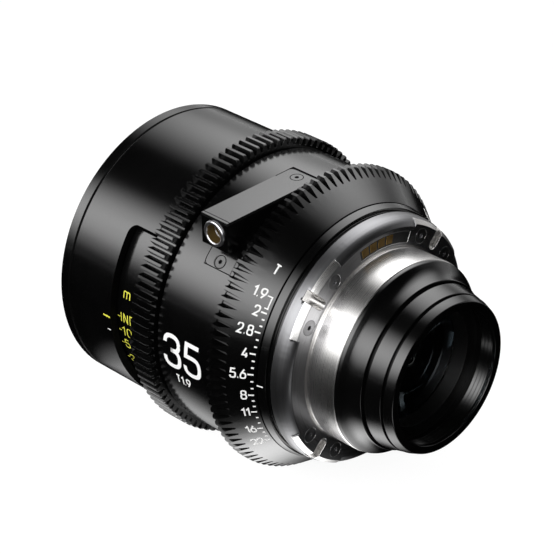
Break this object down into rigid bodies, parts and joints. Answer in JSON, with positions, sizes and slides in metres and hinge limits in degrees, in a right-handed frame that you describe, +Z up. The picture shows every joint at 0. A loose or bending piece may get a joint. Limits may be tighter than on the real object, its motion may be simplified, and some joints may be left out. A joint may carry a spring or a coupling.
{
  "type": "cinema prime lens",
  "caption": "Round cinema prime lens with toothed focus and iris rings, scale windows, a side data socket, a bladed iris and a four-lug steel camera mount.",
  "frame": {"origin": "centre of the camera mount's seat, on the optical axis", "axes": "+Y along the optical axis to the camera side, -Y to the front, +Z up with the data connector on top, +X to the side that shows the scales"},
  "size_m": [0.0856, 0.1046, 0.0856],
  "materials": {
    "black_anodised": "black satin anodised",
    "black_matt": "black matt anodised against stray light",
    "black_satin": "black satin anodised",
    "cover_black": "black fine-blasted anodised",
    "coated_glass": "polished with a thin antireflection coat",
    "pin_steel": "ground",
    "mount_steel": "turned bright",
    "screw_steel": "bright",
    "screw_black": "blackened",
    "shim_brass": "rolled",
    "helicoid_brass": "turned",
    "insulator": "moulded",
    "insert_brown": "moulded",
    "gold": "gold plated",
    "socket_chrome": "matt chrome plated",
    "iris_steel": "blackened",
    "blade_steel": "blackened spring steel"
  },
  "bodies": {
    "barrel": {"front_rim": "black_anodised", "front_barrel": "black_anodised", "front_retainer": "black_matt", "front_cell": "black_matt", "front_element": "coated_glass", "main_tube": "black_matt", "helicoid_stop": "black_matt", "guide_pins": "pin_steel", "mid_barrel": "black_anodised", "connector_block": "black_anodised", "connector_cover": "cover_black", "connector_socket": "socket_chrome", "connector_insert": "insert_brown", "connector_pins": "gold", "connector_screws": "screw_black", "index_ring": "black_anodised", "lens_mount": "mount_steel", "mount_screws": "screw_steel", "mount_shim": "shim_brass", "contact_block": "insulator", "contact_pads": "gold", "rear_barrel": "black_satin", "rear_cell": "black_matt", "rear_inner_element": "coated_glass", "rear_spacer": "black_matt", "rear_element": "coated_glass", "rear_retainer": "black_matt", "iris_housing": "black_matt", "iris_stop_ring": "black_matt"},
    "focus_drive": {"focus_gear_ring": "black_anodised", "focus_scale_ring": "black_matt", "focus_key": "pin_steel", "helicoid_ring": "helicoid_brass"},
    "focus_group": {"focus_cell": "black_matt", "focus_front_element": "coated_glass", "focus_rear_element": "coated_glass", "focus_retainer": "black_matt"},
    "iris_drive": {"iris_ring": "black_anodised", "iris_key": "pin_steel", "iris_drive_plate": "iris_steel"},
    "blade_1": {"iris_blade_1": "blade_steel"},
    "blade_2": {"iris_blade_2": "blade_steel"},
    "blade_3": {"iris_blade_3": "blade_steel"},
    "blade_4": {"iris_blade_4": "blade_steel"},
    "blade_5": {"iris_blade_5": "blade_steel"},
    "blade_6": {"iris_blade_6": "blade_steel"},
    "blade_7": {"iris_blade_7": "blade_steel"},
    "blade_8": {"iris_blade_8": "blade_steel"},
    "blade_9": {"iris_blade_9": "blade_steel"},
    "blade_10": {"iris_blade_10": "blade_steel"}
  },
  "joints": [
    {"name": "focus_turn", "type": "hinge", "parent": "barrel", "child": "focus_drive", "pos_m": [0, -0.046, 0], "axis": [0, -1, 0], "range_deg": [0, 150]},
    {"name": "focus_slide", "type": "slide", "parent": "barrel", "child": "focus_group", "axis": [0, -1, 0], "range_m": [0, 0.0036]},
    {"name": "iris_turn", "type": "hinge", "parent": "barrel", "child": "iris_drive", "pos_m": [0, -0.0165, 0], "axis": [0, -1, 0], "range_deg": [-32.3, 31.6]},
    {"name": "blade_1_swing", "type": "hinge", "parent": "barrel", "child": "blade_1", "pos_m": [0.019, -0.0203, 0], "axis": [0, -1, 0], "range_deg": [-15.6, 15.3]},
    {"name": "blade_2_swing", "type": "hinge", "parent": "barrel", "child": "blade_2", "pos_m": [0.01537, -0.0203, 0.01117], "axis": [0, -1, 0], "range_deg": [-15.6, 15.3]},
    {"name": "blade_3_swing", "type": "hinge", "parent": "barrel", "child": "blade_3", "pos_m": [0.00587, -0.0203, 0.01807], "axis": [0, -1, 0], "range_deg": [-15.6, 15.3]},
    {"name": "blade_4_swing", "type": "hinge", "parent": "barrel", "child": "blade_4", "pos_m": [-0.00587, -0.0203, 0.01807], "axis": [0, -1, 0], "range_deg": [-15.6, 15.3]},
    {"name": "blade_5_swing", "type": "hinge", "parent": "barrel", "child": "blade_5", "pos_m": [-0.01537, -0.0203, 0.01117], "axis": [0, -1, 0], "range_deg": [-15.6, 15.3]},
    {"name": "blade_6_swing", "type": "hinge", "parent": "barrel", "child": "blade_6", "pos_m": [-0.019, -0.0203, 0], "axis": [0, -1, 0], "range_deg": [-15.6, 15.3]},
    {"name": "blade_7_swing", "type": "hinge", "parent": "barrel", "child": "blade_7", "pos_m": [-0.01537, -0.0203, -0.01117], "axis": [0, -1, 0], "range_deg": [-15.6, 15.3]},
    {"name": "blade_8_swing", "type": "hinge", "parent": "barrel", "child": "blade_8", "pos_m": [-0.00587, -0.0203, -0.01807], "axis": [0, -1, 0], "range_deg": [-15.6, 15.3]},
    {"name": "blade_9_swing", "type": "hinge", "parent": "barrel", "child": "blade_9", "pos_m": [0.00587, -0.0203, -0.01807], "axis": [0, -1, 0], "range_deg": [-15.6, 15.3]},
    {"name": "blade_10_swing", "type": "hinge", "parent": "barrel", "child": "blade_10", "pos_m": [0.01537, -0.0203, -0.01117], "axis": [0, -1, 0], "range_deg": [-15.6, 15.3]}
  ],
  "couplings": [
    {"joint": "focus_slide", "follows": "focus_turn", "m_per_rad": 0.001375},
    {"joint": "blade_1_swing", "follows": "iris_turn", "ratio": 0.48},
    {"joint": "blade_2_swing", "follows": "iris_turn", "ratio": 0.48},
    {"joint": "blade_3_swing", "follows": "iris_turn", "ratio": 0.48},
    {"joint": "blade_4_swing", "follows": "iris_turn", "ratio": 0.48},
    {"joint": "blade_5_swing", "follows": "iris_turn", "ratio": 0.48},
    {"joint": "blade_6_swing", "follows": "iris_turn", "ratio": 0.48},
    {"joint": "blade_7_swing", "follows": "iris_turn", "ratio": 0.48},
    {"joint": "blade_8_swing", "follows": "iris_turn", "ratio": 0.48},
    {"joint": "blade_9_swing", "follows": "iris_turn", "ratio": 0.48},
    {"joint": "blade_10_swing", "follows": "iris_turn", "ratio": 0.48}
  ]
}
